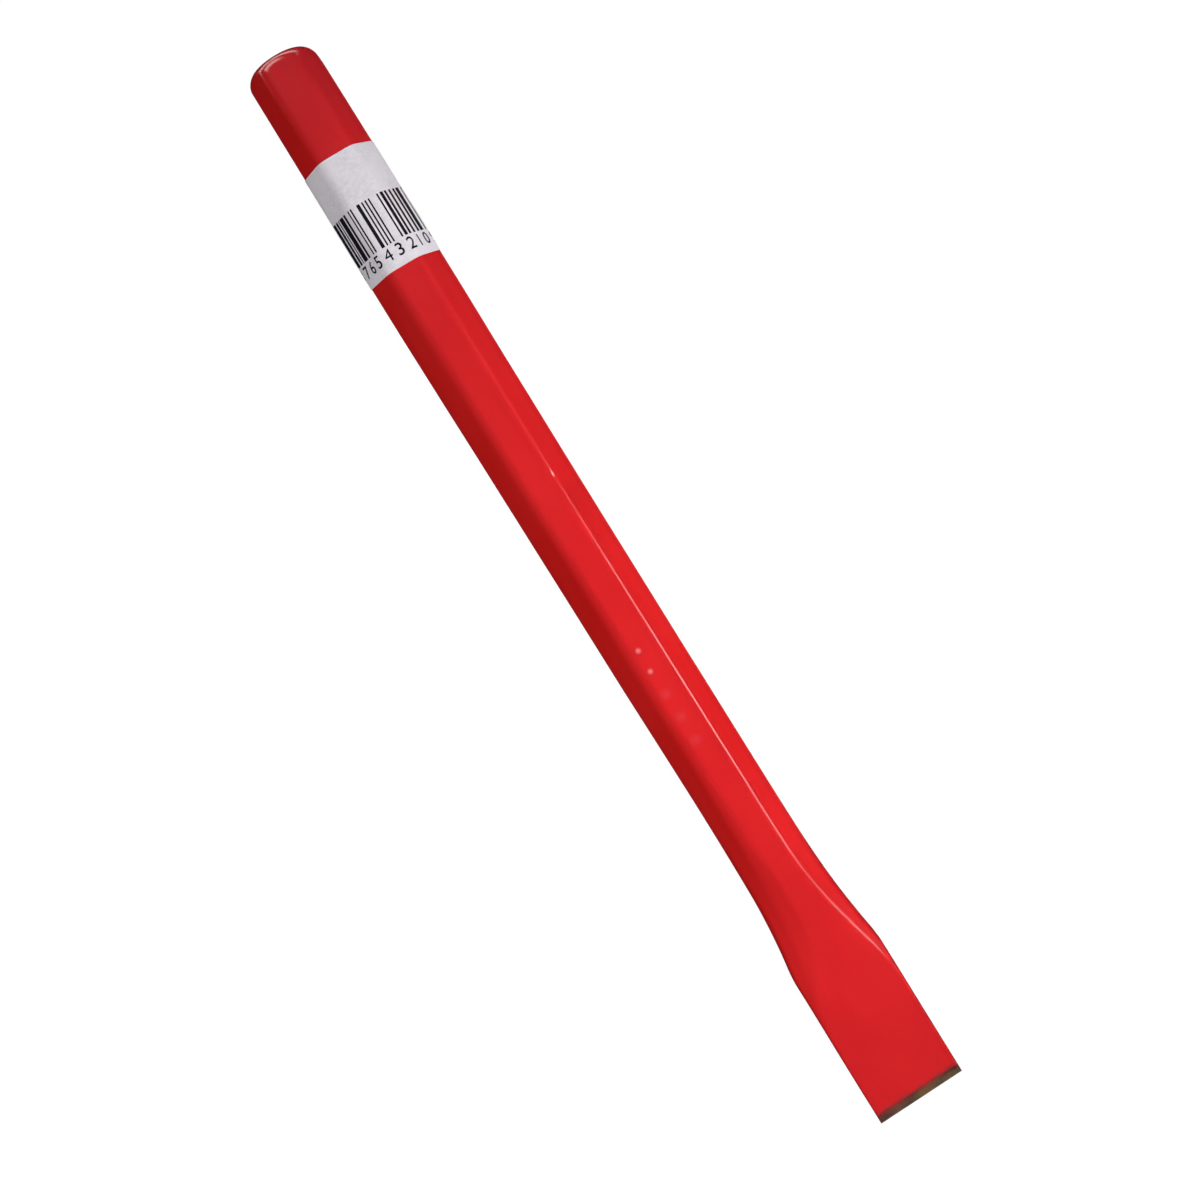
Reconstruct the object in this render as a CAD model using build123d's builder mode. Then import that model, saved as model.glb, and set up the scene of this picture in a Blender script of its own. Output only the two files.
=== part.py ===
from build123d import *
from math import atan2, pi, radians, tan
import os

# Flat cold chisel, in millimetres, lying on the bottom flat of its hexagonal shank.
# +X runs along the tool from the struck head to the cutting edge, and +Z is up.
# The origin lies under the middle of the tool, on the surface that it rests on.

total_length = 250.0
across_flats = 14.0  # bare bar
paint = 0.15  # dipped enamel
glue = 0.03
paper = 0.10

head_x = -total_length / 2
edge_x = total_length / 2
axis_height = across_flats / 2 + paint

# Struck head: a turned dome with a flat middle, as the paint leaves it.
crown_flat_radius = 4.6
crown_depth = 3.1

# Blade: top and bottom faces close in a straight taper from taper_x to the ground shoulder.
taper_x = 66.0
shoulder_x = 122.6
shoulder_half_thickness = 1.35
ground_half_angle = radians(30)
land_half_thickness = 0.1

# Label: a rectangle of paper wrapped over five flats, with the bottom flat left bare.
label_head_x = -102.0
label_edge_x = -76.6
label_tilt = -1.5  # the strip sits slightly out of square, further from the head at +Y
label_end_height = 0.8  # how far above the resting surface the paper stops

# Longer than anything it has to cut across the tool.
reach = 20.0

# Plan of the bare steel: x, half width, half width of the top flat, half height of the side face,
# radius of the long edges beside the top and bottom flats, radius of those beside the side faces.
stations = [
    (head_x, 7.56, 3.70, 0.45, 1.60, 1.3),
    (-69.0, 7.85, 3.50, 0.45, 1.60, 1.3),
    (-45.0, 7.70, 3.40, 0.45, 1.60, 1.3),
    (45.0, 7.55, 3.60, 0.50, 1.60, 1.3),
    (taper_x, 7.65, 3.70, 1.10, 1.80, 1.3),
    (72.0, 7.90, 4.00, 1.90, 1.80, 1.2),
    (78.0, 8.28, 4.70, 2.50, 1.70, 1.0),
    (84.0, 8.94, 6.00, 2.80, 1.60, 0.9),
    (90.5, 9.80, 7.80, 3.00, 1.20, 0.8),
    (97.0, 9.95, 9.05, 3.05, 0.60, 0.6),
    (edge_x, 10.00, 9.60, 0.80, 0.35, 0.35),
]


def half_height(x):
    """Half thickness of the bare steel at x."""
    fall = (across_flats / 2 - shoulder_half_thickness) / (shoulder_x - taper_x)
    return across_flats / 2 - fall * max(0.0, x - taper_x)


def station_at(x):
    """Plan values at x, on the straight line between the stations on either side."""
    for before, after in zip(stations, stations[1:]):
        if before[0] <= x <= after[0]:
            share = (x - before[0]) / (after[0] - before[0])
            return tuple(a + share * (b - a) for a, b in zip(before, after))


def section(station, skin):
    """Rounded eight-sided section at a station, standing skin proud of the bare steel."""
    x, half_width, half_flat, half_side, flat_radius, side_radius = station
    slope = atan2(half_height(x) - half_side, half_width - half_flat)
    high = half_height(x) + skin
    wide = half_width + skin
    flat = half_flat + skin * tan(slope / 2)
    side = half_side + skin * tan((pi / 2 - slope) / 2)
    corners = [(flat, high), (wide, side), (wide, -side), (flat, -high)]
    corners += [(-y, z) for y, z in reversed(corners)]
    plane = Plane(origin=(x, 0, axis_height), x_dir=(0, 1, 0), z_dir=(1, 0, 0))
    with BuildSketch(plane) as outline:
        with BuildLine():
            Polyline(*corners, close=True)
        make_face()
        rows = outline.vertices().group_by(Axis.Y)
        fillet(rows[0] + rows[-1], flat_radius + skin)
        columns = outline.vertices().group_by(Axis.X)
        fillet(columns[0] + columns[-1], side_radius + skin)
    return outline.sketch


def crown_envelope(skin):
    """Solid of revolution about the tool's axis, domed at the head and clear of the rest of the tool."""
    tip = head_x + paint - skin
    radius = crown_depth - paint + skin
    shoulder = head_x + crown_depth
    plane = Plane(origin=(0, 0, axis_height), x_dir=(1, 0, 0), z_dir=(0, -1, 0))
    with BuildPart() as envelope:
        with BuildSketch(plane):
            with BuildLine():
                Line((tip, 0), (tip, crown_flat_radius))
                RadiusArc((tip, crown_flat_radius), (shoulder, crown_flat_radius + radius), radius)
                Line((shoulder, crown_flat_radius + radius), (shoulder, reach))
                Polyline((shoulder, reach), (edge_x + reach, reach), (edge_x + reach, 0), (tip, 0))
            make_face()
        revolve(axis=Axis((0, 0, axis_height), (1, 0, 0)))
    return envelope.part


def ground_faces():
    """What the grinding wheel takes off above and below the cutting edge."""
    rise = reach * tan(ground_half_angle)
    plane = Plane(origin=(edge_x, 0, axis_height), x_dir=(1, 0, 0), z_dir=(0, -1, 0))
    with BuildPart() as waste:
        with BuildSketch(plane):
            with BuildLine():
                Polyline(
                    (0, land_half_thickness),
                    (-reach, land_half_thickness + rise),
                    (0, land_half_thickness + rise),
                    close=True,
                )
            make_face()
        extrude(amount=reach, both=True)
        mirror(about=Plane.XY.offset(axis_height))
    return waste.part


def chisel(skin):
    """The whole tool, standing skin proud of the bare steel."""
    with BuildPart() as tool:
        for station in stations:
            add(section(station, skin))
        loft(ruled=True)
        add(crown_envelope(skin), mode=Mode.INTERSECT)
        add(ground_faces(), mode=Mode.SUBTRACT)
    return tool.part


def wrap(inner, outer):
    """A layer round the shank between two heights above the bare steel, open along the bottom flat."""
    ends = [station_at(label_head_x - 1), station_at(label_edge_x + 1)]
    with BuildPart() as layer:
        for end in ends:
            add(section(end, outer))
        loft(ruled=True)
        for end in ends:
            add(section(end, inner))
        loft(ruled=True, mode=Mode.SUBTRACT)
        square = Plane.YZ.rotated((0, 0, label_tilt))
        head_cut = Plane(origin=(label_head_x, 0, 0), z_dir=square.z_dir)
        edge_cut = Plane(origin=(label_edge_x, 0, 0), z_dir=square.z_dir)
        split(bisect_by=head_cut, keep=Keep.TOP)
        split(bisect_by=edge_cut, keep=Keep.BOTTOM)
        split(bisect_by=Plane.XY.offset(label_end_height), keep=Keep.TOP)
    return layer.part


with BuildPart() as forged_body:
    add(chisel(0))

with BuildPart() as paint_coat:
    add(chisel(paint))
    add(forged_body.part, mode=Mode.SUBTRACT)

with BuildPart() as label_adhesive:
    add(wrap(paint, paint + glue))

with BuildPart() as barcode_label:
    add(wrap(paint + glue, paint + glue + paper))

forged_body.part.label = "forged_body"
paint_coat.part.label = "paint_coat"
label_adhesive.part.label = "label_adhesive"
barcode_label.part.label = "barcode_label"

os.makedirs("parts", exist_ok=True)
export_step(forged_body.part, "parts/forged_body.step")
export_step(paint_coat.part, "parts/paint_coat.step")
export_step(label_adhesive.part, "parts/label_adhesive.step")
export_step(barcode_label.part, "parts/barcode_label.step")
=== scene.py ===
import math

import bmesh
import bpy
from mathutils import Euler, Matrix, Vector, noise


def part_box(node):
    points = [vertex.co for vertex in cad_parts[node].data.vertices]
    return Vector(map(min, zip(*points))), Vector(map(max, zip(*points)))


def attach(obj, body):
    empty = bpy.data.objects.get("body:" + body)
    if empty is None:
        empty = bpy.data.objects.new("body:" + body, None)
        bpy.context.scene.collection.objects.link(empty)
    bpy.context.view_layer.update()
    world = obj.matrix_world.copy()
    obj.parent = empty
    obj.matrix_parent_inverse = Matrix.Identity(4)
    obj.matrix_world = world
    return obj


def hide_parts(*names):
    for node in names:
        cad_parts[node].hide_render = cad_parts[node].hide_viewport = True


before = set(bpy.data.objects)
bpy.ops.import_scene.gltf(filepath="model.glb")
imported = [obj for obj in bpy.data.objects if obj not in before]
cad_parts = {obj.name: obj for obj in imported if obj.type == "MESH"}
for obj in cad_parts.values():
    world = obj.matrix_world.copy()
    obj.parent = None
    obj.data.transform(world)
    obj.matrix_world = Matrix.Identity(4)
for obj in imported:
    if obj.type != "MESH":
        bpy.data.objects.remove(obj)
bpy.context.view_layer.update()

# A flat cold chisel lies along X with its head at -X and its cutting edge at +X. The shapes below are
# worked out in millimetres and go into the meshes in metres.
MM = 0.001

coat_low, coat_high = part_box("paint_coat")
HEAD_X = coat_low.x / MM
EDGE_X = coat_high.x / MM
AXIS_Z = (coat_low.z + coat_high.z) / 2 / MM
label_low, label_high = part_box("barcode_label")

# Layers over the bare steel. The ink is part of the paper's thickness.
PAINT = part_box("forged_body")[0].z / MM
GLUE = 0.03
PAPER = 0.09
INK = 0.01
HAIR = 0.01  # keeps two layers from lying in exactly the same place

# Struck head: a turned dome with a flat middle.
CROWN_FLAT = 4.6
CROWN_DEPTH = 3.1

# Blade: the top and bottom close in a straight taper to the ground shoulder.
HALF_HEIGHT = AXIS_Z - PAINT
TAPER_X = 66.0
SHOULDER_X = 122.6
SHOULDER_HALF_HEIGHT = 1.35
GRIND_ANGLE = math.radians(30)
GRIND_SKEW = math.radians(2.0)
LAND = 0.1
GRIND_DIRECTION = (math.cos(GRIND_SKEW), math.sin(GRIND_SKEW), 0)
PAINT_END = 122.15  # where the wheel stopped, measured along GRIND_DIRECTION

# Bare steel at stations along the tool. The bar is rolled a little about its own axis, so the top flat
# reaches further to one side than to the other, and the bottom flat the other way round.
#   x, half width, top flat's reach to +Y and to -Y, how far the side face starts below the top,
#   rounding of the flat's two edges (+Y, -Y), rounding of the side face's edges, sideways sway
STATIONS = [
    (HEAD_X, 7.52, 3.90, 3.40, 6.55, 0.80, 0.85, 1.10, 0.14),
    (-108.0, 7.62, 3.85, 3.30, 6.55, 0.70, 0.80, 1.10, 0.09),
    (-69.0, 7.84, 3.80, 2.95, 6.55, 0.62, 0.80, 1.10, -0.10),
    (-45.0, 7.71, 3.76, 2.95, 6.55, 0.60, 0.80, 1.10, -0.16),
    (-10.0, 7.61, 3.80, 2.95, 6.55, 0.58, 0.80, 1.10, -0.16),
    (20.0, 7.60, 3.90, 2.98, 6.55, 0.56, 0.85, 1.10, -0.16),
    (45.0, 7.52, 3.86, 3.20, 6.40, 0.56, 0.95, 1.10, -0.04),
    (58.0, 7.56, 3.89, 3.20, 6.05, 0.58, 1.00, 1.00, -0.06),
    (66.0, 7.68, 3.98, 3.10, 5.30, 0.60, 1.45, 0.90, -0.06),
    (72.0, 7.88, 4.36, 3.20, 4.20, 0.62, 1.60, 0.80, 0.02),
    (78.0, 8.34, 5.10, 3.60, 3.15, 0.62, 1.60, 0.65, 0.07),
    (84.0, 9.05, 6.30, 4.60, 2.45, 0.60, 1.50, 0.45, 0.12),
    (88.0, 9.66, 7.35, 5.70, 2.00, 0.55, 1.10, 0.35, 0.10),
    (90.5, 9.88, 7.95, 6.70, 1.60, 0.45, 0.80, 0.30, 0.11),
    (95.0, 9.86, 9.10, 8.30, 0.95, 0.30, 0.45, 0.24, 0.13),
    (101.0, 9.88, 9.50, 9.35, 0.55, 0.22, 0.24, 0.20, 0.11),
    (110.0, 9.92, 9.60, 9.57, 0.45, 0.18, 0.18, 0.18, 0.01),
    (135.0, 9.92, 9.60, 9.60, 0.40, 0.18, 0.18, 0.18, -0.08),
]

# Where the flare opens, its -Y side leads its +Y side. The lead grows to its full size over FLARE_RUN.
SIDE_LEAD = 0.8
FLARE_RUN = 10.0

# A row of small forged pips on the top flat, as a maker's size mark: x, y, height.
PIPS = [(13.1, -0.8, 0.13), (17.9, -0.9, 0.12), (23.5, -0.7, 0.06), (29.0, -0.5, 0.06), (34.5, -0.4, 0.05)]
PIP_RADIUS = 0.6
CLEAR_PIP = 0.1  # a pip higher than this gets a pale pink painted highlight on its top, a lower one a faint, wider painted sheen of lighter red

# A small dent across the +Y edge of the top flat.
DENT = (-25.5, 3.70, -0.18)
DENT_RADIUS = 1.0

# Hammer waves, pressed in by up to this share of the section, between the label and the blade's end.
WAVE_DEPTH = 0.006
WAVE_LENGTH = 13.0
WAVE_WIDTH = 5.0
WAVES_FROM = -74.0
WAVES_TO = 118.0
WAVES_FADE = 20.0


# ---- Forging and paint ----


def clamped(value):
    return min(max(value, 0.0), 1.0)


def between(x):
    """Station values at x, on the straight line between the stations on either side."""
    x = min(max(x, STATIONS[0][0]), STATIONS[-1][0])
    for before, after in zip(STATIONS, STATIONS[1:]):
        if x <= after[0]:
            share = (x - before[0]) / (after[0] - before[0])
            return [a + share * (b - a) for a, b in zip(before, after)]


def half_height(x):
    fall = (HALF_HEIGHT - SHOULDER_HALF_HEIGHT) / (SHOULDER_X - TAPER_X)
    return HALF_HEIGHT - fall * max(0.0, x - TAPER_X)


def quarter_section(x, skin, side, rolled):
    """Cage points from the middle of a broad flat to the middle of one side (+1 or -1).

    rolled is true where the bar's roll brings the flat's edge out to the longer of its two reaches.
    """
    opening = clamped((x - TAPER_X) / FLARE_RUN)
    half_width = between(x - side * SIDE_LEAD * opening)[1]
    station = between(x)
    half_flat, soft_flat = (station[2], station[5]) if rolled else (station[3], station[6])
    drop, soft_side = station[4], station[7]
    height = half_height(x)
    slope = math.atan2(drop, half_width - half_flat)
    top = height + skin
    wide = half_width + skin
    flat = half_flat + skin * math.tan(slope / 2)
    low = height - drop + skin * math.tan((math.pi / 2 - slope) / 2)
    edge = Vector((flat, top))
    corner = Vector((wide, low))
    slant = (corner - edge).normalized()
    start = edge + soft_flat * slant
    end = corner - soft_side * slant
    return [
        Vector((0, top)),
        Vector((0.55 * (flat - soft_flat), top)),
        Vector((flat - soft_flat, top)),
        start,
        start.lerp(end, 1 / 3),
        start.lerp(end, 2 / 3),
        end,
        Vector((wide, low * 0.5)),
        Vector((wide, 0)),
    ]


def section(x, skin):
    """Closed ring of cage points (y, z from the axis) at x, from the top middle over +Y and back."""
    upper_right = quarter_section(x, skin, 1, True)
    lower_right = [Vector((p.x, -p.y)) for p in quarter_section(x, skin, 1, False)]
    lower_left = [Vector((-p.x, -p.y)) for p in quarter_section(x, skin, -1, True)]
    upper_left = [Vector((-p.x, p.y)) for p in quarter_section(x, skin, -1, False)]
    ring = upper_right + lower_right[-2::-1] + lower_left[1:] + upper_left[-2:0:-1]
    sway = between(x)[8]
    return [Vector((p.x + sway, p.y)) for p in ring]


def drawn_in(point, radius):
    """A section point kept inside the turned dome."""
    reach = point.length
    return point * (min(reach, radius) / max(reach, 1e-6))


def ring_places(skin):
    """(x, radius limit) of each ring of the forging's cage, from the crown's middle to past the edge."""
    free = 1e3
    tip = HEAD_X + PAINT - skin
    centre = HEAD_X + CROWN_DEPTH
    depth = centre - tip
    places = [(tip, 0.9), (tip, 2.6), (tip, 4.3)]
    for degrees in (14, 30, 46, 62, 78, 90):
        turn = math.radians(degrees)
        places.append((centre - depth * math.cos(turn), CROWN_FLAT + depth * math.sin(turn)))
    rings = [-120.5, -118, -113, *range(-105, -30, 10), -16, -8, 0, 6, 10, 15.5, 20.5, 26.3, 31.8, 37.5]
    rings += [DENT[0] + step for step in (-3.5, -2, -1, 0, 1, 2, 3.5)]
    for x, y, height in PIPS:
        steps = (-2, -1, 0, 1, 2) if height > CLEAR_PIP else (-2, 0, 2)
        rings += [x + step * PIP_RADIUS for step in steps]
    rings += [40, 46, 52, 57, 61, 64.5, 67.5, 70.5, 73, 75.5, 78, 80.5, 83, 85, 87]
    rings += [88.5, 90, 91.5, 93.5, 96, 99, 103, 108, 114, 120, 127]
    places += [(x, free) for x in sorted(rings)]
    return places


def forged_surface(skin, levels):
    """The forging's outer surface as a mesh, open past the cutting edge."""
    cage = bmesh.new()
    turn = cage.verts.layers.int.new("turn")
    count = len(section(0, 0))
    start = bmesh.ops.create_circle(cage, cap_ends=True, segments=count, radius=1)["verts"]
    for index, vert in enumerate(start):
        vert[turn] = index
    rim = cage.edges[:]
    for number, (x, radius) in enumerate(ring_places(skin)):
        if number:
            grown = bmesh.ops.extrude_edge_only(cage, edges=rim)["geom"]
            rim = [e for e in grown if isinstance(e, bmesh.types.BMEdge) and len(e.link_faces) == 1]
        points = section(x, skin)
        for vert in {v for e in rim for v in e.verts}:
            point = drawn_in(points[vert[turn]], radius)
            vert.co = Vector((x, point.x, AXIS_Z + point.y)) * MM
    bmesh.ops.recalc_face_normals(cage, faces=cage.faces)
    holder = new_object("cage", cage)
    subdivide = holder.modifiers.new("Subdivision", "SUBSURF")
    subdivide.levels = levels
    subdivide.render_levels = levels
    smooth = bpy.data.meshes.new_from_object(holder.evaluated_get(bpy.context.evaluated_depsgraph_get()))
    bpy.data.objects.remove(holder)
    return smooth


def dimple(vert, x, y, height, radius):
    """Raises the upper surface softly round a spot, or dents it where the height is below nought."""
    away = math.hypot(vert.co.x / MM - x, vert.co.y / MM - y) / radius
    if away < 3 and vert.co.z / MM > AXIS_Z:
        vert.co.z += height * math.exp(-away * away) * MM


def rough_forging(vert):
    """Presses the hammer waves into the surface."""
    x, y, z = vert.co / MM
    fade = clamped((x - WAVES_FROM) / WAVES_FADE) * clamped((WAVES_TO - x) / WAVES_FADE)
    wave = noise.noise(Vector((x / WAVE_LENGTH, y / WAVE_WIDTH, z / WAVE_WIDTH)))
    shrink = 1 - WAVE_DEPTH * fade * (0.5 + 0.5 * wave)
    vert.co.y *= shrink
    vert.co.z = AXIS_Z * MM + (vert.co.z - AXIS_Z * MM) * shrink


def marked_surface(skin):
    """The forging's surface with its waves, its pips and its dent."""
    surface = bmesh.new()
    surface.from_mesh(forged_surface(skin, 2))
    for vert in surface.verts:
        rough_forging(vert)
        for x, y, height in PIPS:
            dimple(vert, x, y, height, PIP_RADIUS)
        dimple(vert, *DENT, DENT_RADIUS)
    return surface


def new_object(name, mesh):
    """A scene object from a finished bmesh, at the origin."""
    data = bpy.data.meshes.new(name)
    mesh.to_mesh(data)
    mesh.free()
    thing = bpy.data.objects.new(name, data)
    bpy.context.scene.collection.objects.link(thing)
    bpy.context.view_layer.update()
    return thing


def grind(mesh, fill):
    """Cuts the surface off at the edge and along the two ground faces."""
    corner = Vector((EDGE_X, -coat_high.y / MM, AXIS_Z)) * MM
    across = Vector(GRIND_DIRECTION)
    up = Vector((0, 0, 1))
    face = across * math.sin(GRIND_ANGLE)
    lift = up * math.cos(GRIND_ANGLE)
    cuts = [
        (corner, across),
        (corner + up * LAND * MM, face + lift),
        (corner - up * LAND * MM, face - lift),
    ]
    for place, normal in cuts:
        geometry = mesh.verts[:] + mesh.edges[:] + mesh.faces[:]
        cut = bmesh.ops.bisect_plane(
            mesh, geom=geometry, dist=1e-7, plane_co=place, plane_no=normal, clear_outer=True
        )
        if fill:
            edges = [e for e in cut["geom_cut"] if isinstance(e, bmesh.types.BMEdge)]
            bmesh.ops.contextual_create(mesh, geom=edges)


def shade(thing, angle):
    """Smooth shading, with edges sharper than angle left sharp."""
    mesh = bmesh.new()
    mesh.from_mesh(thing.data)
    for face in mesh.faces:
        face.smooth = True
    for edge in mesh.edges:
        if len(edge.link_faces) == 2 and edge.calc_face_angle() > math.radians(angle):
            edge.smooth = False
    mesh.to_mesh(thing.data)
    mesh.free()


def steel_forging():
    mesh = marked_surface(0)
    grind(mesh, fill=True)
    bmesh.ops.recalc_face_normals(mesh, faces=mesh.faces)
    body = new_object("steel_forging", mesh)
    shade(body, 20)
    return body


def enamel_coat():
    """The paint: an outer skin and an inner one a hair off the steel, joined along the ground edge."""
    mesh = marked_surface(PAINT)
    outer = set(mesh.faces)
    lining = marked_surface(HAIR)
    lining_mesh = bpy.data.meshes.new("lining")
    lining.to_mesh(lining_mesh)
    lining.free()
    mesh.from_mesh(lining_mesh)
    inner = [f for f in mesh.faces if f not in outer]
    bmesh.ops.reverse_faces(mesh, faces=inner)
    grind(mesh, fill=False)
    rims = [e for e in mesh.edges if len(e.link_faces) == 1]
    bmesh.ops.bridge_loops(mesh, edges=rims)
    coat = new_object("enamel_coat", mesh)
    shade(coat, 50)
    return coat


# ---- Label ----

# The paper is wrapped 1.5 degrees out of square and stops short of the bottom flat.
LABEL_TILT = math.tan(math.radians(1.5))
LABEL_HALF_WRAP = 18.6

# The print's tops point towards the head. A bar is so many modules wide, and a digit is seven.
MODULE = 0.379
BAR_TRIM = 0.025  # how far a bar's long edges print inside its modules
BAR_TOP_X = -91.3
BAR_FOOT_X = -81.5
DIGIT_FOOT_X = -78.5
DIGIT_HEIGHT = 2.55
DIGIT_PITCH = 7 * MODULE
DIGIT_CAP = 0.70  # a digit's height in the font, at size 1
DIGIT_BOLDER = 0.03
DIGIT_CUT = 0.3  # pitch of the cuts that let a digit bend
PLACEHOLDER_NUMBER = "0987654321098"
LEFT_HAND_CODES = [
    "0001101", "0011001", "0010011", "0111101", "0100011",
    "0110001", "0101111", "0111011", "0110111", "0001011",
]

outlines = {}


def outline(x, skin):
    """Points of the finished section at x, with their distance round from the middle of the top flat.

    The points are on the cubic B-spline that subdividing the ring leads to.
    """
    key = (round(x, 2), round(skin, 4))
    if key not in outlines:
        ring = section(x, skin)
        points = []
        steps = 10
        for index in range(len(ring)):
            a, b, c, d = (ring[(index + k) % len(ring)] for k in (-1, 0, 1, 2))
            for step in range(steps):
                t = step / steps
                points.append(
                    (a * (1 - t) ** 3 + b * (3 * t ** 3 - 6 * t ** 2 + 4)
                     + c * (-3 * t ** 3 + 3 * t ** 2 + 3 * t + 1) + d * t ** 3) / 6
                )
        points.append(points[0])
        distances = [0.0]
        for before, after in zip(points, points[1:]):
            distances.append(distances[-1] + (after - before).length)
        outlines[key] = (points, distances)
    return outlines[key]


def wrapped(round_distance, x, skin):
    """Where a spot of the flat label lands: so far round from the top middle, at x, skin above steel."""
    points, distances = outline(x, PAINT)
    goal = round_distance % distances[-1]
    low, high = 0, len(distances) - 1
    while high - low > 1:
        middle = (low + high) // 2
        if distances[middle] <= goal:
            low = middle
        else:
            high = middle
    share = (goal - distances[low]) / (distances[high] - distances[low])
    spot = points[low].lerp(points[high], share)
    before = points[low] - points[low - 1 if low else -2]
    here = points[high] - points[low]
    after = points[high + 1 if high < len(points) - 1 else 1] - points[high]
    direction = (before + here).normalized().lerp((here + after).normalized(), share)
    outward = Vector((-direction.y, direction.x)).normalized()
    spot = spot + outward * (skin - PAINT)
    return Vector((x + LABEL_TILT * spot.x, spot.x, AXIS_Z + spot.y)) * MM


def roll_on(mesh, bottom, thickness):
    """Gives a flat patch (x round the shank, y along it) its thickness and wraps it on the shank."""
    for vert in mesh.verts:
        vert.co.z = 0
    grown = bmesh.ops.extrude_face_region(mesh, geom=mesh.faces[:], use_keep_orig=True)["geom"]
    for vert in (v for v in grown if isinstance(v, bmesh.types.BMVert)):
        vert.co.z = 1
    bmesh.ops.recalc_face_normals(mesh, faces=mesh.faces)
    for vert in mesh.verts:
        vert.co = wrapped(vert.co.x, vert.co.y, bottom + thickness * vert.co.z)
    bmesh.ops.recalc_face_normals(mesh, faces=mesh.faces)


def add_patch(mesh, round_from, round_to, x_from, x_to, pitch=0.3):
    """A flat rectangle of the label, fine enough to bend."""
    wide = max(1, math.ceil((round_to - round_from) / pitch))
    long = max(1, math.ceil((x_to - x_from) / 1.0))
    grid = bmesh.ops.create_grid(mesh, x_segments=wide, y_segments=long, size=0.5)["verts"]
    for vert in grid:
        vert.co.x = round_from + (vert.co.x + 0.5) * (round_to - round_from)
        vert.co.y = x_from + (vert.co.y + 0.5) * (x_to - x_from)


def label_layer(name, inset, bottom, thickness):
    """One layer of the label, set in from its edges."""
    mesh = bmesh.new()
    tilt_room = LABEL_TILT * label_high.y / MM
    x_from = label_low.x / MM + tilt_room + inset
    x_to = label_high.x / MM - tilt_room - inset
    half_wrap = LABEL_HALF_WRAP - inset
    add_patch(mesh, -half_wrap, half_wrap, x_from, x_to, pitch=0.25)
    roll_on(mesh, bottom, thickness)
    layer = new_object(name, mesh)
    shade(layer, 50)
    return layer


def bar_pattern():
    """(first module, width in modules) of each printed bar of the placeholder number."""
    left = "".join(LEFT_HAND_CODES[int(d)] for d in PLACEHOLDER_NUMBER[1:7])
    right = "".join(LEFT_HAND_CODES[int(d)] for d in PLACEHOLDER_NUMBER[7:])
    right = right.translate(str.maketrans("01", "10"))
    modules = "101" + left + "01010" + right + "101"
    bars = []
    place = 0
    while place < len(modules):
        width = 1
        while place + width < len(modules) and modules[place + width] == modules[place]:
            width += 1
        if modules[place] == "1":
            bars.append((place, width))
        place += width
    return bars, len(modules)


def inked(name, mesh):
    """A flat print made into ink on the paper."""
    roll_on(mesh, PAINT + GLUE + PAPER - HAIR / 2, INK + HAIR / 2)
    return new_object(name, mesh)


def printed_bars():
    mesh = bmesh.new()
    bars, count = bar_pattern()
    for place, width in bars:
        start = (place - count / 2) * MODULE
        end = start + width * MODULE
        add_patch(mesh, start + BAR_TRIM, end - BAR_TRIM, BAR_TOP_X, BAR_FOOT_X)
    return inked("printed_bars", mesh)


def printed_digits():
    mesh = bmesh.new()
    row = PLACEHOLDER_NUMBER[1:]
    for index, digit in enumerate(row):
        add_digit(mesh, digit, (index - (len(row) - 1) / 2) * DIGIT_PITCH)
    return inked("printed_digits", mesh)


def add_digit(mesh, digit, centre):
    """One flat digit, its top towards the head, cut across often enough to bend round the shank."""
    letter = bpy.data.curves.new("digit", "FONT")
    letter.body = digit
    letter.size = DIGIT_HEIGHT / DIGIT_CAP
    letter.align_x = "CENTER"
    letter.offset = 0 if digit == "4" else DIGIT_BOLDER  # a bolder 4 loses its eye
    letter.resolution_u = 4
    holder = bpy.data.objects.new("digit", letter)
    bpy.context.scene.collection.objects.link(holder)
    bpy.context.view_layer.update()
    flat = bpy.data.meshes.new_from_object(holder.evaluated_get(bpy.context.evaluated_depsgraph_get()))
    bpy.data.objects.remove(holder)
    glyph = bmesh.new()
    glyph.from_mesh(flat)
    bmesh.ops.remove_doubles(glyph, verts=glyph.verts, dist=1e-4)
    for cut in range(-4, 4):
        place = (cut * DIGIT_CUT, 0, 0)
        geometry = glyph.verts[:] + glyph.edges[:] + glyph.faces[:]
        bmesh.ops.bisect_plane(glyph, geom=geometry, dist=1e-5, plane_co=place, plane_no=(1, 0, 0))
    for vert in glyph.verts:
        vert.co = Vector((centre + vert.co.x, DIGIT_FOOT_X - vert.co.y, 0))
    piece = bpy.data.meshes.new("digit")
    glyph.to_mesh(piece)
    glyph.free()
    mesh.from_mesh(piece)


# ---- Materials ----


def new_material(name):
    material = bpy.data.materials.new(name)
    material.use_nodes = True
    tree = material.node_tree
    return material, tree, tree.nodes["Principled BSDF"]


def new_group(name, inputs, output):
    """An effect for several materials: its tree, its inner input and output nodes."""
    group = bpy.data.node_groups.new(name, "ShaderNodeTree")
    for label, kind, value in inputs:
        socket = group.interface.new_socket(label, in_out="INPUT", socket_type=kind)
        if value is not None:
            socket.default_value = value
    group.interface.new_socket(output, in_out="OUTPUT", socket_type="NodeSocketFloat")
    return group, group.nodes.new("NodeGroupInput"), group.nodes.new("NodeGroupOutput")


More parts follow.
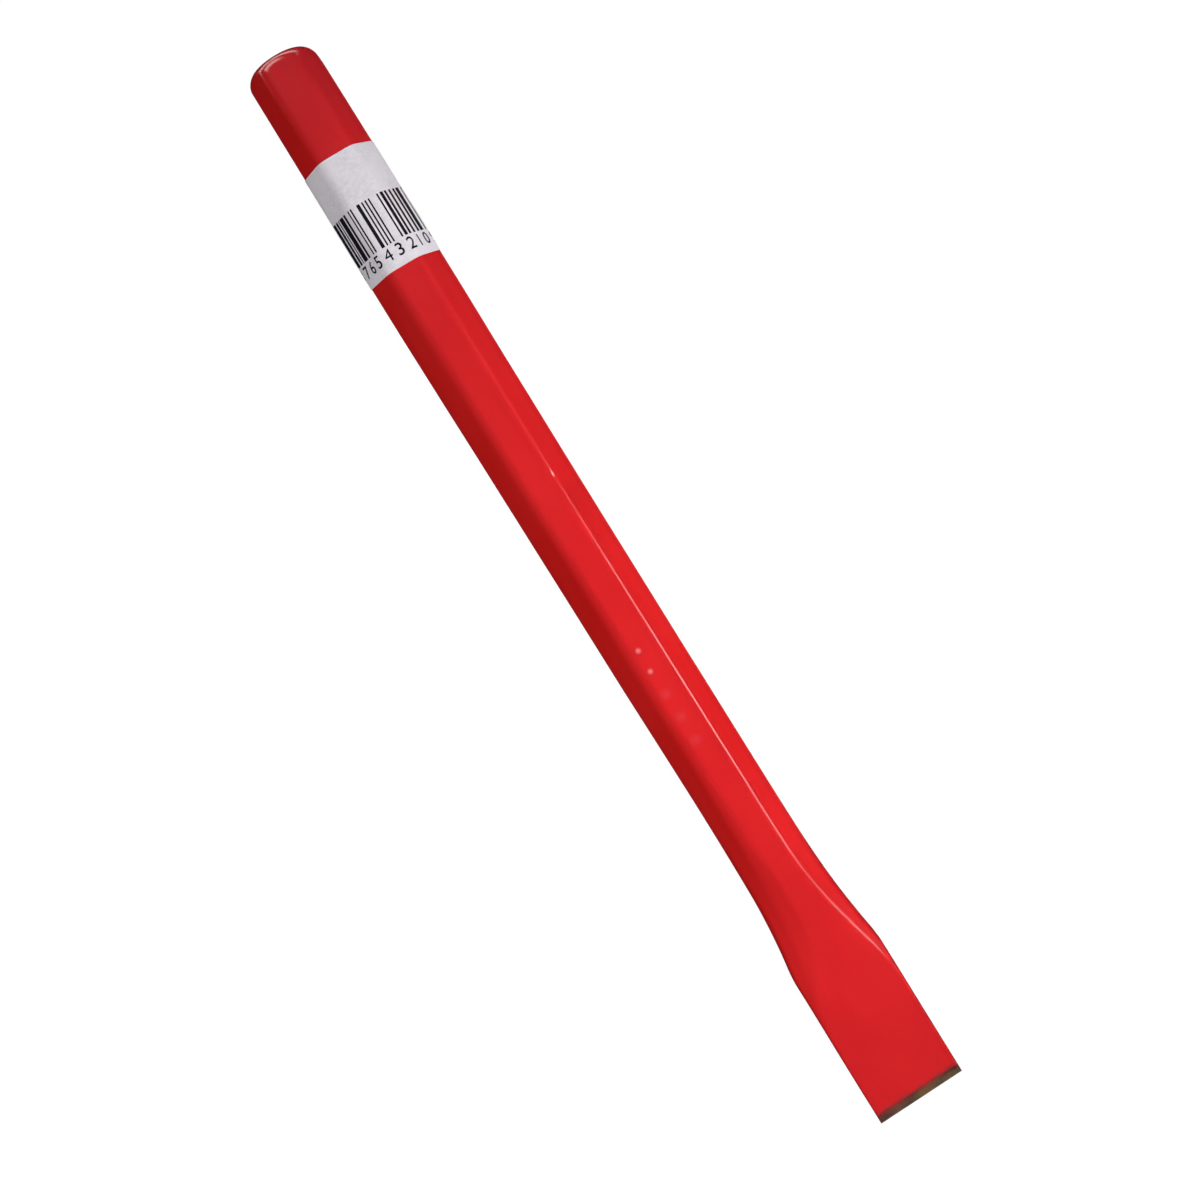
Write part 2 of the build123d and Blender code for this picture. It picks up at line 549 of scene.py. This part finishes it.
def grain_group():
    """Noise for any finish, as a mottling from 0 to 1."""
    inputs = [
        ("Place", "NodeSocketVector", None),
        ("Scale", "NodeSocketFloat", 100.0),
        ("Detail", "NodeSocketFloat", 3.0),
        ("Low", "NodeSocketFloat", 0.3),
        ("High", "NodeSocketFloat", 0.7),
    ]
    group, inside, outside = new_group("fine_grain", inputs, "Mottle")
    cloud = group.nodes.new("ShaderNodeTexNoise")
    spread = group.nodes.new("ShaderNodeMapRange")
    spread.interpolation_type = "SMOOTHSTEP"
    group.links.new(inside.outputs["Place"], cloud.inputs["Vector"])
    group.links.new(inside.outputs["Scale"], cloud.inputs["Scale"])
    group.links.new(inside.outputs["Detail"], cloud.inputs["Detail"])
    group.links.new(cloud.outputs["Fac"], spread.inputs["Value"])
    group.links.new(inside.outputs["Low"], spread.inputs["From Min"])
    group.links.new(inside.outputs["High"], spread.inputs["From Max"])
    group.links.new(spread.outputs["Result"], outside.inputs["Mottle"])
    return group


def change_group():
    """A change from 0 to 1 along a direction. Ragged, from 0 to 1, brings it forward by up to 0.5 mm."""
    inputs = [
        ("Place", "NodeSocketVector", None),
        ("Direction", "NodeSocketVector", (1, 0, 0)),
        ("Start", "NodeSocketFloat", 0.0),
        ("End", "NodeSocketFloat", 1.0),
        ("Ragged", "NodeSocketFloat", 0.0),
    ]
    group, inside, outside = new_group("change_along", inputs, "Mask")
    project = group.nodes.new("ShaderNodeVectorMath")
    project.operation = "DOT_PRODUCT"
    shift = group.nodes.new("ShaderNodeMath")
    shift.operation = "MULTIPLY_ADD"
    shift.inputs[1].default_value = 0.5 * MM
    spread = group.nodes.new("ShaderNodeMapRange")
    spread.interpolation_type = "SMOOTHSTEP"
    group.links.new(inside.outputs["Place"], project.inputs[0])
    group.links.new(inside.outputs["Direction"], project.inputs[1])
    group.links.new(inside.outputs["Ragged"], shift.inputs[0])
    group.links.new(project.outputs["Value"], shift.inputs[2])
    group.links.new(shift.outputs["Value"], spread.inputs["Value"])
    group.links.new(inside.outputs["Start"], spread.inputs["From Min"])
    group.links.new(inside.outputs["End"], spread.inputs["From Max"])
    group.links.new(spread.outputs["Result"], outside.inputs["Mask"])
    return group


GRAIN = grain_group()
CHANGE = change_group()


def place_node(tree, stretch=(1, 1, 1)):
    """Object coordinates in metres, stretched."""
    where = tree.nodes.new("ShaderNodeTexCoord")
    mapping = tree.nodes.new("ShaderNodeMapping")
    mapping.inputs["Scale"].default_value = stretch
    tree.links.new(where.outputs["Object"], mapping.inputs["Vector"])
    return mapping.outputs["Vector"]


def grain(tree, place, scale, detail=3.0, low=0.3, high=0.7):
    node = tree.nodes.new("ShaderNodeGroup")
    node.node_tree = GRAIN
    tree.links.new(place, node.inputs["Place"])
    node.inputs["Scale"].default_value = scale
    node.inputs["Detail"].default_value = detail
    node.inputs["Low"].default_value = low
    node.inputs["High"].default_value = high
    return node.outputs["Mottle"]


def blend_colour(tree, mask, first, second):
    """Mixes two colours, each a tuple or a socket, by a mask."""
    mix = tree.nodes.new("ShaderNodeMix")
    mix.data_type = "RGBA"
    tree.links.new(mask, mix.inputs["Factor"])
    for socket, value in ((mix.inputs[6], first), (mix.inputs[7], second)):
        if isinstance(value, tuple):
            socket.default_value = (*value, 1)
        else:
            tree.links.new(value, socket)
    return mix.outputs[2]


def blend_value(tree, mask, low, high):
    spread = tree.nodes.new("ShaderNodeMapRange")
    tree.links.new(mask, spread.inputs["Value"])
    spread.inputs["To Min"].default_value = low
    spread.inputs["To Max"].default_value = high
    return spread.outputs["Result"]


def bump(tree, height, distance, strength=1.0, under=None):
    node = tree.nodes.new("ShaderNodeBump")
    node.inputs["Distance"].default_value = distance
    node.inputs["Strength"].default_value = strength
    tree.links.new(height, node.inputs["Height"])
    if under is not None:
        tree.links.new(under, node.inputs["Normal"])
    return node.outputs["Normal"]


def along(tree, direction, start, end, ragged=None):
    """0 before start and 1 after end, in millimetres along a direction."""
    node = tree.nodes.new("ShaderNodeGroup")
    node.node_tree = CHANGE
    tree.links.new(place_node(tree), node.inputs["Place"])
    node.inputs["Direction"].default_value = direction
    node.inputs["Start"].default_value = start * MM
    node.inputs["End"].default_value = end * MM
    if ragged is not None:
        tree.links.new(ragged, node.inputs["Ragged"])
    return node.outputs["Mask"]


def near(tree, spot, radius):
    """1 at a spot (millimetres), falling softly to 0 at the radius."""
    where = tree.nodes.new("ShaderNodeTexCoord")
    distance = tree.nodes.new("ShaderNodeVectorMath")
    distance.operation = "DISTANCE"
    distance.inputs[1].default_value = Vector(spot) * MM
    tree.links.new(where.outputs["Object"], distance.inputs[0])
    spread = tree.nodes.new("ShaderNodeMapRange")
    spread.interpolation_type = "SMOOTHSTEP"
    tree.links.new(distance.outputs["Value"], spread.inputs["Value"])
    spread.inputs["From Max"].default_value = radius * MM
    spread.inputs["To Min"].default_value = 1
    spread.inputs["To Max"].default_value = 0
    return spread.outputs["Result"]


def red_enamel():
    material, tree, paint = new_material("red_enamel")
    place = place_node(tree)
    pools = grain(tree, place_node(tree, (0.4, 1, 1)), 90, 2.0)
    peel = grain(tree, place, 650, 1.5, 0.2, 0.8)
    waves = grain(tree, place_node(tree, (0.35, 1, 1)), 160, 1.0, 0.2, 0.8)
    red = blend_colour(tree, pools, (0.70, 0.010, 0.007), (0.75, 0.012, 0.010))
    nicks = grain(tree, place, 420, 3.0)
    burnt = along(tree, GRIND_DIRECTION, PAINT_END - 0.9, PAINT_END + 0.7, nicks)
    red = blend_colour(tree, burnt, red, (0.34, 0.028, 0.022))
    # Painted highlight: a pale pink spot on each high pip and a faint wash of lighter red round each low pip
    # stand in for the glint of light on the raised pips.
    for x, y, height in PIPS:
        painted_pip_light, reach = ((0.96, 0.24, 0.25), 1.4) if height > CLEAR_PIP else ((0.76, 0.028, 0.030), 3.0)
        spot = (x, y, AXIS_Z + HALF_HEIGHT + PAINT + height)
        red = blend_colour(tree, near(tree, spot, PIP_RADIUS * reach), red, painted_pip_light)
    tree.links.new(red, paint.inputs["Base Color"])
    tree.links.new(blend_value(tree, pools, 0.20, 0.27), paint.inputs["Roughness"])
    waved = bump(tree, waves, 0.00006, 0.35)
    tree.links.new(bump(tree, peel, 0.00001, 0.25, waved), paint.inputs["Normal"])
    paint.inputs["IOR"].default_value = 1.5
    return material


def ground_steel():
    material, tree, metal = new_material("ground_steel")
    lines = grain(tree, place_node(tree, (0.04, 1, 0.3)), 5200, 2.0, 0.35, 0.65)
    film = grain(tree, place_node(tree), 260, 3.0, 0.35, 0.65)
    nicks = grain(tree, place_node(tree), 420, 3.0)  # the same as in the paint, so that the two meet
    bare = blend_colour(tree, lines, (0.32, 0.210, 0.085), (0.47, 0.330, 0.145))
    oxide = blend_colour(tree, film, bare, (0.32, 0.185, 0.068))
    browner = along(tree, (0, -1, 0), -2, 8)
    brown = blend_colour(tree, browner, oxide, (0.31, 0.145, 0.080))
    clean = along(tree, GRIND_DIRECTION, PAINT_END, PAINT_END + 1.8, nicks)
    colour = blend_colour(tree, clean, (0.50, 0.070, 0.040), brown)
    tree.links.new(colour, metal.inputs["Base Color"])
    tree.links.new(blend_value(tree, film, 0.35, 0.6), metal.inputs["Roughness"])
    tree.links.new(blend_value(tree, film, 0.85, 0.35), metal.inputs["Metallic"])
    tree.links.new(bump(tree, lines, 0.00001, 0.5), metal.inputs["Normal"])
    return material


def white_paper():
    material, tree, paper = new_material("white_paper")
    fibres = grain(tree, place_node(tree, (1, 0.5, 1)), 2600, 4.0, 0.3, 0.7)
    cockle = grain(tree, place_node(tree), 210, 2.0, 0.3, 0.7)
    tone = blend_colour(tree, cockle, (0.81, 0.755, 0.82), (0.91, 0.855, 0.91))
    speck = blend_colour(tree, fibres, tone, (0.94, 0.895, 0.94))
    tree.links.new(speck, paper.inputs["Base Color"])
    tree.links.new(blend_value(tree, fibres, 0.55, 0.68), paper.inputs["Roughness"])
    rough = bump(tree, fibres, 0.00001, 0.35)
    tree.links.new(bump(tree, cockle, 0.0001, 0.3, rough), paper.inputs["Normal"])
    return material


def black_ink():
    material, tree, ink = new_material("black_ink")
    voids = grain(tree, place_node(tree), 3500, 2.0, 0.55, 0.8)
    tone = blend_colour(tree, voids, (0.006, 0.003, 0.010), (0.016, 0.010, 0.022))
    tree.links.new(tone, ink.inputs["Base Color"])
    tree.links.new(blend_value(tree, voids, 0.45, 0.6), ink.inputs["Roughness"])
    tree.links.new(bump(tree, voids, 0.000005, 0.3), ink.inputs["Normal"])
    ink.inputs["Specular IOR Level"].default_value = 0.15
    return material


def clear_glue():
    material, tree, glue = new_material("clear_glue")
    ooze = grain(tree, place_node(tree), 900, 2.0)
    tone = blend_colour(tree, ooze, (0.80, 0.77, 0.68), (0.88, 0.86, 0.80))
    tree.links.new(tone, glue.inputs["Base Color"])
    tree.links.new(blend_value(tree, ooze, 0.25, 0.4), glue.inputs["Roughness"])
    tree.links.new(bump(tree, ooze, 0.00001, 0.4), glue.inputs["Normal"])
    return material


# ---- Studio ----

FLOOR_GAP = 0.0002  # metres under the tool, so that its bottom flat and the floor stay apart


def light_path(tree, output, off, on):
    """A value that depends on the kind of ray that asks for it."""
    path = tree.nodes.new("ShaderNodeLightPath")
    spread = tree.nodes.new("ShaderNodeMapRange")
    tree.links.new(path.outputs[output], spread.inputs["Value"])
    spread.inputs["To Min"].default_value = off
    spread.inputs["To Max"].default_value = on
    return spread.outputs["Result"]


def studio_floor():
    """A pale floor, clear from below so that the tool's underside can be looked at."""
    mesh = bmesh.new()
    bmesh.ops.create_grid(mesh, x_segments=2, y_segments=2, size=1.5)
    bmesh.ops.translate(mesh, verts=mesh.verts, vec=(0, 0, -FLOOR_GAP))
    floor = new_object("studio_floor", mesh)
    material, tree, white = new_material("studio_floor")
    white.inputs["Base Color"].default_value = (0.10, 0.10, 0.10, 1)
    white.inputs["Roughness"].default_value = 0.9
    white.inputs["Specular IOR Level"].default_value = 0
    white.inputs["Emission Color"].default_value = (1, 1, 1, 1)
    tree.links.new(light_path(tree, "Is Camera Ray", 0.09, 0.97), white.inputs["Emission Strength"])
    below = tree.nodes.new("ShaderNodeNewGeometry")
    clear = tree.nodes.new("ShaderNodeBsdfTransparent")
    pick = tree.nodes.new("ShaderNodeMixShader")
    tree.links.new(below.outputs["Backfacing"], pick.inputs["Fac"])
    tree.links.new(white.outputs["BSDF"], pick.inputs[1])
    tree.links.new(clear.outputs["BSDF"], pick.inputs[2])
    tree.links.new(pick.outputs["Shader"], tree.nodes["Material Output"].inputs["Surface"])
    floor.data.materials.append(material)
    floor.visible_glossy = False


def soft_light(name, place, target, size, power, spread=180, gloss=True, diffuse=True):
    """A rectangular light at place (metres), turned to its target.

    A light without gloss is sampled directly only, so that no stray path shows it in the enamel.
    """
    lamp = bpy.data.lights.new(name, "AREA")
    lamp.shape = "RECTANGLE"
    lamp.size, lamp.size_y = size
    lamp.energy = power
    lamp.spread = math.radians(spread)
    holder = bpy.data.objects.new(name, lamp)
    holder.location = place
    holder.rotation_euler = (Vector(target) - Vector(place)).to_track_quat("-Z", "Y").to_euler()
    holder.visible_camera = False
    holder.visible_glossy = gloss
    holder.visible_diffuse = diffuse
    lamp.cycles.use_multiple_importance_sampling = gloss
    bpy.context.scene.collection.objects.link(holder)
    return holder


def studio_world():
    """White to the eye, dim to the tool. Its gloss sees a cool ceiling that reaches lower on the +Y side."""
    world = bpy.data.worlds.new("studio")
    world.use_nodes = True
    tree = world.node_tree
    sky = tree.nodes["Background"]
    sky.inputs["Color"].default_value = (1, 1, 1, 1)
    tree.links.new(light_path(tree, "Is Camera Ray", 0.22, 1.0), sky.inputs["Strength"])
    ceiling = tree.nodes.new("ShaderNodeBackground")
    direction = tree.nodes.new("ShaderNodeTexCoord")
    lean = tree.nodes.new("ShaderNodeVectorMath")
    lean.operation = "DOT_PRODUCT"
    lean.inputs[1].default_value = (0, 0.35, 1)
    rise = tree.nodes.new("ShaderNodeMapRange")
    rise.inputs["From Min"].default_value = -0.6
    rise.inputs["From Max"].default_value = 0.9
    rise.inputs["To Min"].default_value = 0.01
    rise.inputs["To Max"].default_value = 0.2
    tree.links.new(direction.outputs["Generated"], lean.inputs[0])
    tree.links.new(lean.outputs["Value"], rise.inputs["Value"])
    tree.links.new(rise.outputs["Result"], ceiling.inputs["Strength"])
    ceiling.inputs["Color"].default_value = (0.92, 0.90, 1.9, 1)
    mix = tree.nodes.new("ShaderNodeMixShader")
    tree.links.new(light_path(tree, "Is Glossy Ray", 0, 1), mix.inputs["Fac"])
    tree.links.new(sky.outputs["Background"], mix.inputs[1])
    tree.links.new(ceiling.outputs["Background"], mix.inputs[2])
    tree.links.new(mix.outputs["Shader"], tree.nodes["World Output"].inputs["Surface"])
    bpy.context.scene.world = world


def studio_light():
    studio_world()
    soft_light("key", (-0.08, 0.163, 0.44), (0.09, 0, 0), (0.25, 0.25), 0.275, spread=70, gloss=False)
    soft_light("left_fill", (0.10, -0.50, 0.22), (0.07, 0, 0), (0.35, 0.3), 0.19, spread=85, gloss=False)
    soft_light("right_fill", (0.02, 0.50, 0.22), (0.02, 0, 0), (0.12, 0.3), 0.107, spread=40, gloss=False)
    soft_light("edge_strip", (0.125, 0.62, 0.37), (0.05, 0, 0), (0.18, 0.08), 1.65, diffuse=False)
    soft_light("blade_strip", (0.30, 0.62, 0.37), (0.10, 0, 0), (0.14, 0.08), 0.18, diffuse=False)
    soft_light("head_card", (-0.50, -0.12, 0.31), (-0.12, 0, 0.01), (0.38, 0.34), 2.3, diffuse=False)
    soft_light("floor_card", (-0.31, -0.04, 0.001), (-0.31, -0.04, 1), (0.3, 0.26), 1.2, diffuse=False)


def camera():
    lens = bpy.data.cameras.new("camera")
    lens.lens = 54.0
    lens.sensor_width = 36.0
    lens.clip_start = 0.01
    holder = bpy.data.objects.new("camera", lens)
    holder.location = (-0.02274, 0.00811, 0.37440)
    holder.rotation_euler = Euler([math.radians(a) for a in (-3.947, -0.586, 58.111)])
    bpy.context.scene.collection.objects.link(holder)
    bpy.context.scene.camera = holder


# ---- Assembly ----


def finish_piece(piece, material, slot, *nodes):
    piece.data.materials.clear()
    piece.data.materials.append(material)
    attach(piece, "root")
    if nodes:
        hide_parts(*nodes)


camera()
studio_light()
studio_floor()
bpy.context.scene.view_settings.view_transform = "Standard"

ink = black_ink()
finish_piece(steel_forging(), ground_steel(), "bare_steel", "forged_body")
finish_piece(enamel_coat(), red_enamel(), "red_enamel", "paint_coat")
glue_film = label_layer("glue_film", 0.15, PAINT + HAIR, GLUE - HAIR)
paper_label = label_layer("paper_label", 0, PAINT + GLUE + HAIR / 2, PAPER - HAIR / 2)
finish_piece(glue_film, clear_glue(), "clear_glue", "label_adhesive")
finish_piece(paper_label, white_paper(), "white_paper", "barcode_label")
finish_piece(printed_bars(), ink, "black_ink")
finish_piece(printed_digits(), ink, "black_ink")
